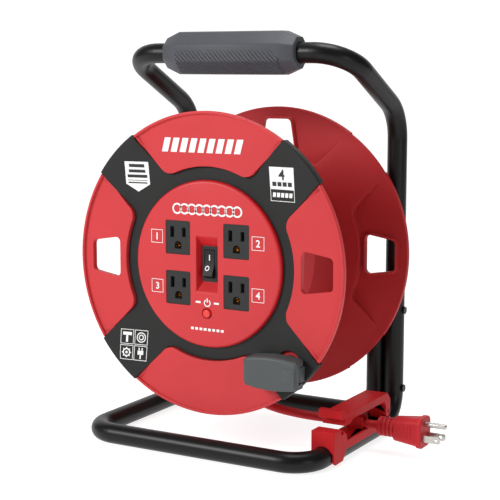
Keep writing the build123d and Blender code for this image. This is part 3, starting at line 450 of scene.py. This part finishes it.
def grip_weight(edge):
    """The outer corners get a wide round and the seam between the shells a narrow one."""
    middle = (edge.verts[0].co + edge.verts[1].co) / 2
    if abs(middle.y - shell_seam) < 0.05 * MM:
        return 0.15
    if hypot(middle.y - grip_mid.y, middle.z - grip_mid.z) < 11.0 * MM:
        return 0.2
    if abs(edge.verts[0].co.y - shell_seam) < 0.05 * MM or abs(edge.verts[1].co.y - shell_seam) < 0.05 * MM:
        return 0.15
    return 1.0


for place in ("front", "rear"):
    mesh = rounded(f"grip_{place}_shell", 1.8 * MM, grip_weight, segments=4)
    shown(f"grip_{place}_moulding", mesh, grip_grey, "grip_grey", "frame", f"grip_{place}_shell")

rib_top = 2.4 * MM
corner = grip_half * tan(radians(22.5))
facet_stop = 1.6 * MM
rib_half = 1.15 * MM
rib_height = 0.8 * MM
rib_root = 0.4 * MM
rib_left = -51.0 * MM
rib_right = 53.0 * MM
grip_rib_pitch = 4.32 * MM
low_run = 2 * corner - facet_stop
leg_cos = cos(radians(45))
stations = [
    (0.0, Vector((0, -grip_half, rib_top)), Vector((0, -1, 0))),
    (rib_top + corner, Vector((0, -grip_half, -corner)), Vector((0, -1, -tan(radians(22.5))))),
    (
        rib_top + corner + low_run,
        Vector((0, -grip_half + low_run * leg_cos, -corner - low_run * leg_cos)),
        Vector((0, -leg_cos, -leg_cos)),
    ),
]
ridge_right = [(0.4, rib_height), (0.9, 0.1 * rib_height), (1.0, -rib_root)]
ridge = [(-across, lift) for across, lift in ridge_right[::-1]] + ridge_right
rib = bmesh.new()
rings = []
for shear, centre, outward in stations:
    ring = []
    for across, lift in ridge:
        along = Vector((rib_left - grip_mid.x + shear + across * rib_half, 0, 0))
        ring.append(rib.verts.new(grip_mid + centre + outward * lift + along))
    rings.append(ring)
for near, far in zip(rings[:-1], rings[1:]):
    for a in range(len(ridge)):
        b = (a + 1) % len(ridge)
        rib.faces.new((near[a], near[b], far[b], far[a]))
rib.faces.new(rings[0][::-1])
rib.faces.new(rings[-1])
bmesh.ops.recalc_face_normals(rib, faces=rib.faces[:])
rib_mesh = bpy.data.meshes.new("grip_rib")
rib.to_mesh(rib_mesh)
rib.free()
start_shift = -(rib_top + corner + low_run)
first = int(start_shift / grip_rib_pitch) - 1
rib_mesh.transform(Matrix.Translation((first * grip_rib_pitch, 0, 0)))
rib_total = int((rib_right - rib_left) / grip_rib_pitch) - first
grip_ribs = row_of("grip_ribs", rib_mesh, rib_total, (grip_rib_pitch, 0.0, 0.0), grip_grey)
trimmed = bmesh.new()
trimmed.from_mesh(grip_ribs)
for stop, outward in ((rib_left, -1.0), (rib_right + 4 * MM, 1.0)):
    cut_edges = bmesh.ops.bisect_plane(
        trimmed,
        geom=trimmed.verts[:] + trimmed.edges[:] + trimmed.faces[:],
        plane_co=(stop, 0, 0),
        plane_no=(outward, 0, 0),
        clear_outer=True,
    )["geom_cut"]
    bmesh.ops.holes_fill(trimmed, edges=[e for e in cut_edges if isinstance(e, bmesh.types.BMEdge)])
trimmed.to_mesh(grip_ribs)
trimmed.free()
shown("grip_ribs", grip_ribs, grip_grey, "grip_grey", "frame")


# ---- Rear flange: the back half of the drum, moulded in red polymer with four windows. ----
reel_red = finish_of(
    "reel_red", (0.58, 0.0400, 0.0455), (0.54, 0.0350, 0.0405), 0.44, 1900.0, 0.045 * MM, specular=0.25
)
reel_low, reel_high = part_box("front_flange")
rim_radius = (reel_high.x - reel_low.x) / 2
axis_x = (reel_high.x + reel_low.x) / 2
axis_z = (reel_high.z + reel_low.z) / 2
front_y = reel_low.y


def radius_at(point):
    """How far a point is from the reel's axis."""
    return hypot(point.x - axis_x, point.z - axis_z)


def flange_weight(edge):
    """The rim is rounder than the panels' edges, and the drum's seams and holes are nearly sharp."""
    middle = (edge.verts[0].co + edge.verts[1].co) / 2
    if radius_at(middle) > rim_radius - 1.5 * MM:
        return 1.0
    if radius_at(middle) < 80 * MM:
        return 0.15
    return 0.7


# The rear flange gets a darker red than the front flange's reel_red: painted shade for the shade it lies in
# behind the front flange.
rear_red_painted_shade = finish_of(
    "rear_red_painted_shade", (0.42, 0.0230, 0.0260), (0.38, 0.0200, 0.0230), 0.5, 1900.0, 0.045 * MM, specular=0.2
)
shown(
    "rear_flange_moulding",
    rounded("rear_flange", 1.0 * MM, flange_weight),
    rear_red_painted_shade,
    "reel_red",
    "reel",
    "rear_flange",
)


# ---- Front flange: four raised red panels between the arms of the cross, a lip round the rim, two
# carrying windows, and the front half of the drum. ----
shown(
    "front_flange_moulding",
    rounded("front_flange", 1.0 * MM, flange_weight),
    reel_red,
    "reel_red",
    "reel",
    "front_flange",
)
shown(
    "drum_relief",
    rounded("lead_strain_relief", 0.5 * MM),
    red_jacket,
    "lead_red",
    "reel",
    "lead_strain_relief",
)


# ---- Cross: a charcoal cover that lies over the arms and ring, and hooks round the rim. ----
charcoal = finish_of(
    "charcoal", (0.0185, 0.0188, 0.0182), (0.0145, 0.0148, 0.0142), 0.45, 2000.0, 0.05 * MM, specular=0.22
)
shown("cross_cover", rounded("spider_cover", 0.7 * MM), charcoal, "cross_black", "reel", "spider_cover")


# ---- Socket panel: a round red moulded plate, screwed to the drum's front. Its rim and the sloping
# pocket for the switch are painted a darker, deeper red than its face, as painted shade. ----
panel_red = finish_of(
    "panel_red", (0.58, 0.0400, 0.0455), (0.55, 0.0360, 0.0415), 0.42, 1900.0, 0.045 * MM, specular=0.25
)


def shade_painted_behind_face(finish, colour, start, stop):
    """Painted shade: turn the finish to a darker colour behind its front face, from start to stop along Y.
    """
    nodes = finish.node_tree.nodes
    wire = finish.node_tree.links.new
    shader = nodes["Principled BSDF"]
    spot = nodes.new("ShaderNodeTexCoord")
    split = nodes.new("ShaderNodeSeparateXYZ")
    wire(spot.outputs["Object"], split.inputs["Vector"])
    depth = nodes.new("ShaderNodeMapRange")
    depth.inputs["From Min"].default_value = start
    depth.inputs["From Max"].default_value = stop
    wire(split.outputs["Y"], depth.inputs["Value"])
    tone = nodes.new("ShaderNodeMix")
    tone.data_type = "RGBA"
    tone.inputs["B"].default_value = (*colour, 1.0)
    wire(depth.outputs["Result"], tone.inputs["Factor"])
    wire(shader.inputs["Base Color"].links[0].from_socket, tone.inputs["A"])
    wire(tone.outputs["Result"], shader.inputs["Base Color"])


plate_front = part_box("hub_plate")[0].y
# The rim's sides and the switch pocket get a darker, deeper red here: painted shade.
shade_painted_behind_face(panel_red, (0.52, 0.0080, 0.0130), plate_front + 0.2 * MM, plate_front + 1.2 * MM)
shown("socket_panel", rounded("hub_plate", 0.35 * MM), panel_red, "panel_red", "reel", "hub_plate")


# ---- Sockets: four grounded outlets in charcoal polymer, brass inside. ----
outlet_black = finish_of(
    "outlet_black",
    (0.0260, 0.0270, 0.0265),
    (0.0210, 0.0220, 0.0215),
    0.45,
    2200.0,
    0.04 * MM,
    specular=0.25,
)
for number in range(1, 5):
    shown(
        f"outlet_{number}",
        rounded(f"socket_{number}", 0.3 * MM),
        outlet_black,
        "socket_black",
        "reel",
        f"socket_{number}",
    )


# ---- Switch, breaker and reset button. ----
switch_black = finish_of(
    "switch_black", (0.018, 0.018, 0.019), (0.014, 0.014, 0.015), 0.4, 2200.0, 0.015 * MM, specular=0.3
)
button_red = finish_of("button_red", (0.78, 0.045, 0.035), (0.72, 0.04, 0.03), 0.3, 1500.0, 0.02 * MM)
shown(
    "switch_frame",
    rounded("switch_housing", 0.3 * MM),
    switch_black,
    "switch_black",
    "reel",
    "switch_housing",
)
rocker_black = finish_of(
    "rocker_black", (0.016, 0.016, 0.017), (0.012, 0.012, 0.013), 0.5, 2200.0, 0.01 * MM, specular=0.2
)
shown(
    "switch_paddle",
    rounded("switch_rocker", 0.3 * MM),
    rocker_black,
    "switch_black",
    "rocker",
    "switch_rocker",
)
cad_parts["breaker_body"].data.materials[0] = switch_black
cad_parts["reset_button"].data.materials[0] = button_red


# ---- Crank: a grey handle that folds flat into the flange, on a turntable in its pocket. ----
crank_grey = finish_of(
    "crank_grey", (0.079, 0.086, 0.088), (0.066, 0.073, 0.075), 0.46, 2400.0, 0.06 * MM, specular=0.3
)
shown(
    "crank_turntable",
    rounded("crank_base", 0.4 * MM),
    crank_grey,
    "crank_grey",
    "crank_turntable",
    "crank_base",
)
shown("crank_knob", rounded("crank_handle", 1.0 * MM), crank_grey, "crank_grey", "crank", "crank_handle")
handle_low, handle_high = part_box("crank_handle")
pad_mid_z = (handle_low.z + handle_high.z) / 2 - 0.3 * MM
thumb_pad = bar_mesh(
    "crank_pad",
    (handle_high.x - 14.0 * MM, handle_low.y - 0.5 * MM, pad_mid_z - 6.6 * MM),
    (handle_high.x - 1.4 * MM, handle_low.y + 1.0 * MM, pad_mid_z + 6.6 * MM),
    0.45 * MM,
)
shown("crank_pad", thumb_pad, crank_grey, "crank_grey", "crank")


# ---- Cord clip: a red moulded saddle screwed to the right ground bar, with two fingers that hold the
# lead between them and an arm, hinged on a pin, that closes over it. ----
clip_red = finish_of(
    "clip_red", (0.52, 0.016, 0.020), (0.46, 0.013, 0.017), 0.5, 1900.0, 0.045 * MM, specular=0.1
)
shown("clip_saddle", rounded("clip_base", 0.6 * MM), clip_red, "clip_red", "frame", "clip_base")
saddle_low, saddle_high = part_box("clip_base")
saddle_mid_x = (saddle_low.x + saddle_high.x) / 2
finger_half = 8.5 * MM
finger_root = 19.0 * MM
finger_tip = 31.5 * MM
for word, near, far in (("front", 2.2 * MM, 3.6 * MM), ("rear", 12.6 * MM, 14.0 * MM)):
    finger = bar_mesh(
        f"clip_finger_{word}",
        (saddle_mid_x - finger_half, near, finger_root),
        (saddle_mid_x + finger_half, far, finger_tip),
        0.4 * MM,
    )
    shown(f"clip_finger_{word}", finger, clip_red, "clip_red", "frame")
shown("clip_lever", rounded("clip_arm", 0.6 * MM), clip_red, "clip_red", "clip_lever", "clip_arm")


# ---- Printing: white and black ink laid on the panel, the flange and the cross. A coil sign, a power
# sign and plain bars stand for wording, and numbers in boxes mark the four sockets. ----
white_ink = finish_of("white_ink", (0.86, 0.86, 0.85), (0.80, 0.80, 0.79), 0.5, 2600.0, 0.008 * MM)
black_ink = finish_of("black_ink", (0.012, 0.012, 0.013), (0.008, 0.008, 0.009), 0.5, 2600.0, 0.008 * MM)
ink_thickness = 0.08 * MM
ink_lift = 0.12 * MM


def face_of(node):
    """Where a piece's front surface is: a function from x and z to y."""
    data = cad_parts[node].data
    tree = BVHTree.FromPolygons([v.co[:] for v in data.vertices], [p.vertices[:] for p in data.polygons])

    def front(x, z):
        return tree.ray_cast(Vector((x, front_y - 60 * MM, z)), Vector((0, 1, 0)))[0].y

    return front


def bar_of(left, low, right, high, lean=0.0):
    """A straight or leaning bar as one outline, in millimetres from the reel's axis."""
    return [(left, low), (right, low), (right + lean, high), (left + lean, high)]


def ring_of(x, z, outer, inner, steps=24, start=0.0, end=360.0):
    """A ring or an arc as a row of four sided outlines."""
    spots = [radians(start + (end - start) * step / steps) for step in range(steps + 1)]
    return [
        [(x + r * cos(t), z + r * sin(t)) for r, t in ((inner, a), (outer, a), (outer, b), (inner, b))]
        for a, b in zip(spots[:-1], spots[1:])
    ]


def border_of(outer, inner):
    """The band between two four sided outlines, as four outlines."""
    return [[outer[k], outer[(k + 1) % 4], inner[(k + 1) % 4], inner[k]] for k in range(4)]


def box_of(left, low, right, high, line):
    """The outline of a rectangle, drawn with a line of the given width."""
    outer = bar_of(left, low, right, high)
    inner = bar_of(left + line, low + line, right - line, high - line)
    return border_of(outer, inner)


def figure_of(number, x, z, height):
    """A numeral's outlines, centred on a spot."""
    letter = bpy.data.curves.new("figure", "FONT")
    letter.body = number
    letter.offset = 0.02
    blank = bpy.data.objects.new("figure", letter)
    scene.collection.objects.link(blank)
    flat = baked(blank)
    across = [v.co.x for v in flat.vertices]
    upward = [v.co.y for v in flat.vertices]
    scale = height / (max(upward) - min(upward))
    mid_x = (max(across) + min(across)) / 2
    mid_z = (max(upward) + min(upward)) / 2
    spots = [(x + scale * (v.co.x - mid_x), z + scale * (v.co.y - mid_z)) for v in flat.vertices]
    return [[spots[k] for k in p.vertices] for p in flat.polygons]


def printed(name, outlines, node, finish, body="reel", layer=1, cuts=0):
    """A thin layer of ink with these outlines, laid on the front of a piece."""
    front = face_of(node)
    ink = bmesh.new()
    for outline in outlines:
        ink.faces.new([ink.verts.new((u, v, 0)) for u, v in outline])
    bmesh.ops.remove_doubles(ink, verts=ink.verts, dist=0.001)
    if cuts:
        bmesh.ops.subdivide_edges(ink, edges=ink.edges[:], cuts=cuts, use_grid_fill=True)
        bmesh.ops.triangulate(ink, faces=ink.faces[:])
    top = bmesh.ops.extrude_face_region(ink, geom=ink.faces[:], use_keep_orig=True)["geom"]
    raised = {v for v in top if isinstance(v, bmesh.types.BMVert)}
    for vertex in ink.verts:
        x, z = axis_x + vertex.co.x * MM, axis_z + vertex.co.y * MM
        lift = layer * ink_lift + (ink_thickness if vertex in raised else 0.0)
        vertex.co = (x, front(x, z) - lift, z)
    bmesh.ops.recalc_face_normals(ink, faces=ink.faces[:])
    mesh = bpy.data.meshes.new(name)
    ink.to_mesh(mesh)
    ink.free()
    return shown(name, mesh, finish, None, body)


number_boxes = {"1": (-54.0, 23.1), "2": (53.9, 23.0), "3": (-54.0, -23.6), "4": (53.9, -24.1)}
panel_marks = []
for number, (x, z) in number_boxes.items():
    panel_marks += box_of(x - 6.4, z - 6.3, x + 6.4, z + 6.3, 0.5)
    panel_marks += figure_of(number, x, z, 6.6)
panel_marks += [bar_of(-12.0, -36.2, -6.6, -34.4), bar_of(7.6, -36.2, 13.0, -34.4)]
panel_marks += ring_of(0.5, -35.6, 3.6, 2.5, 20, 125.0, 415.0)
panel_marks += [bar_of(-0.1, -35.0, 1.1, -31.2)]
for step in range(8):
    panel_marks += [bar_of(-17.2 + 4.6 * step, -61.6, -14.2 + 4.6 * step, -59.2)]
printed("panel_print", panel_marks, "hub_plate", white_ink)
for step in range(9):
    coil = ring_of(0.5 + 8.0 * (step - 4), 50.1, 5.2, 3.6)
    printed(f"coil_ring_{step + 1}", coil, "hub_plate", white_ink)

# Painted shade round each outlet's slots and ground hole: a thin near-black layer on its face where the
# real lead-ins lie in shadow. Each slot is given as half its opening and half its lead-in, across and up.
slot_shade = finish_of(
    "slot_shade", (0.0020, 0.0020, 0.0020), (0.0015, 0.0015, 0.0015), 0.7, 2600.0, 0.004 * MM, specular=0.03
)
neutral_slot = (1.30, 4.20, 1.95, 5.00)
hot_slot = (1.20, 3.40, 1.85, 4.30)
slot_rise = 5.00
blade_half_pitch = 6.35
ground_drop = 6.9
ground_inner, ground_outer = 2.70, 3.50
for number in range(1, 5):
    socket_low, socket_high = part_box(f"socket_{number}")
    middle_x = ((socket_low.x + socket_high.x) / 2 - axis_x) / MM
    middle_z = ((socket_low.z + socket_high.z) / 2 - axis_z) / MM
    painted_slot_shade = []
    for side, (half_x, half_z, wide_x, wide_z) in ((-1, neutral_slot), (1, hot_slot)):
        x = middle_x + side * blade_half_pitch
        z = middle_z + slot_rise
        opening = bar_of(x - half_x, z - half_z, x + half_x, z + half_z)
        mouth = bar_of(x - wide_x, z - wide_z, x + wide_x, z + wide_z)
        painted_slot_shade += border_of(mouth, opening)
    z = middle_z - ground_drop
    painted_slot_shade += ring_of(middle_x, z, ground_outer, ground_inner)
    for side in (-1, 1):
        corner_spot = (middle_x + side * ground_outer, z - ground_outer)
        arc = [radians(270 + side * 15 * step) for step in range(7)]
        for a, b in zip(arc[:-1], arc[1:]):
            ends = [(middle_x + ground_outer * cos(t), z + ground_outer * sin(t)) for t in (a, b)]
            painted_slot_shade += [[corner_spot, *ends]]
    printed(f"outlet_lead_ins_{number}", painted_slot_shade, f"socket_{number}", slot_shade)

stripes = [bar_of(-48.0 + 9.6 * step, 102.0, -41.5 + 9.6 * step, 115.0, 3.4) for step in range(9)]
printed("flange_print", stripes, "front_flange", white_ink)

shield_left, shield_mid, shield_right = -88.6, -76.2, -63.8
shield_top, shield_waist, shield_tip = 91.5, 70.4, 63.2
shield = [
    [(a, shield_top), (a, shield_waist), (b, shield_waist), (b, shield_top)]
    for a, b in ((shield_left, shield_mid), (shield_mid, shield_right))
]
shield += [
    [(shield_left, shield_waist), (shield_mid, shield_tip), (shield_mid, shield_waist)],
    [(shield_mid, shield_waist), (shield_mid, shield_tip), (shield_right, shield_waist)],
]
printed("shield_label", shield, "spider_cover", white_ink, cuts=5)
shield_bars = [
    bar_of(-84.2, 86.2, -68.2, 89.2),
    bar_of(-84.8, 81.2, -67.6, 84.0),
    bar_of(-86.4, 76.4, -66.0, 79.2),
    bar_of(-86.4, 73.6, -66.0, 74.1),
    bar_of(-86.0, 71.0, -66.4, 72.2),
]
printed("shield_bars", shield_bars, "spider_cover", black_ink, layer=2, cuts=5)
printed("count_label", [bar_of(64.4, 72.8, 90.1, 92.3)], "spider_cover", white_ink, cuts=9)
count_marks = figure_of("4", 77.2, 85.6, 9.4)
for step in range(4):
    count_marks += [bar_of(67.0 + 5.5 * step, 75.2, 71.2 + 5.5 * step, 79.0)]
printed("count_figure", count_marks, "spider_cover", black_ink, layer=2, cuts=1)
gauge_marks = box_of(64.4, 61.6, 90.1, 72.8, 0.5)
for step in range(5):
    gauge_marks += [bar_of(66.6 + 4.4 * step, 65.4, 69.8 + 4.4 * step, 69.4, 0.6)]
printed("gauge_box", gauge_marks, "spider_cover", white_ink, cuts=3)

sign_line = 0.55
left_x, right_x, upper_z, lower_z = -89.3, -74.4, -76.0, -91.0
sign_marks = []
for x in (left_x, right_x):
    for z in (upper_z, lower_z):
        sign_marks += box_of(x - 6.9, z - 7.0, x + 6.9, z + 7.0, sign_line)
sign_marks += [
    bar_of(left_x - 4.6, upper_z + 1.4, left_x + 4.8, upper_z + 4.4),
    bar_of(left_x - 1.2, upper_z - 5.2, left_x + 1.0, upper_z + 1.2),
]
sign_marks += ring_of(right_x, upper_z, 4.9, 3.9) + ring_of(right_x, upper_z, 2.7, 1.7, 16)
sign_marks += ring_of(left_x, lower_z, 4.0, 2.8) + ring_of(left_x, lower_z, 1.3, 0.3, 12)
for step in range(8):
    angle = radians(45 * step)
    tooth = [(3.8, -0.9), (5.3, 0.0), (3.8, 0.9)]
    turned = [(a * cos(angle) - b * sin(angle), a * sin(angle) + b * cos(angle)) for a, b in tooth]
    sign_marks += [[(left_x + a, lower_z + b) for a, b in turned]]
sign_marks += [
    bar_of(right_x - 3.0, lower_z - 1.4, right_x + 3.0, lower_z + 2.4),
    bar_of(right_x - 2.2, lower_z + 2.6, right_x - 1.0, lower_z + 5.2),
    bar_of(right_x + 1.0, lower_z + 2.6, right_x + 2.2, lower_z + 5.2),
    bar_of(right_x - 0.7, lower_z - 5.4, right_x + 0.7, lower_z - 1.6),
]
printed("tool_signs", sign_marks, "spider_cover", white_ink, cuts=1)

printed("rocker_on_mark", [bar_of(-0.5, 3.2, 0.5, 8.4)], "switch_rocker", white_ink, "rocker")
printed("rocker_off_mark", ring_of(-1.4, -3.9, 2.3, 1.4, 20), "switch_rocker", white_ink, "rocker")
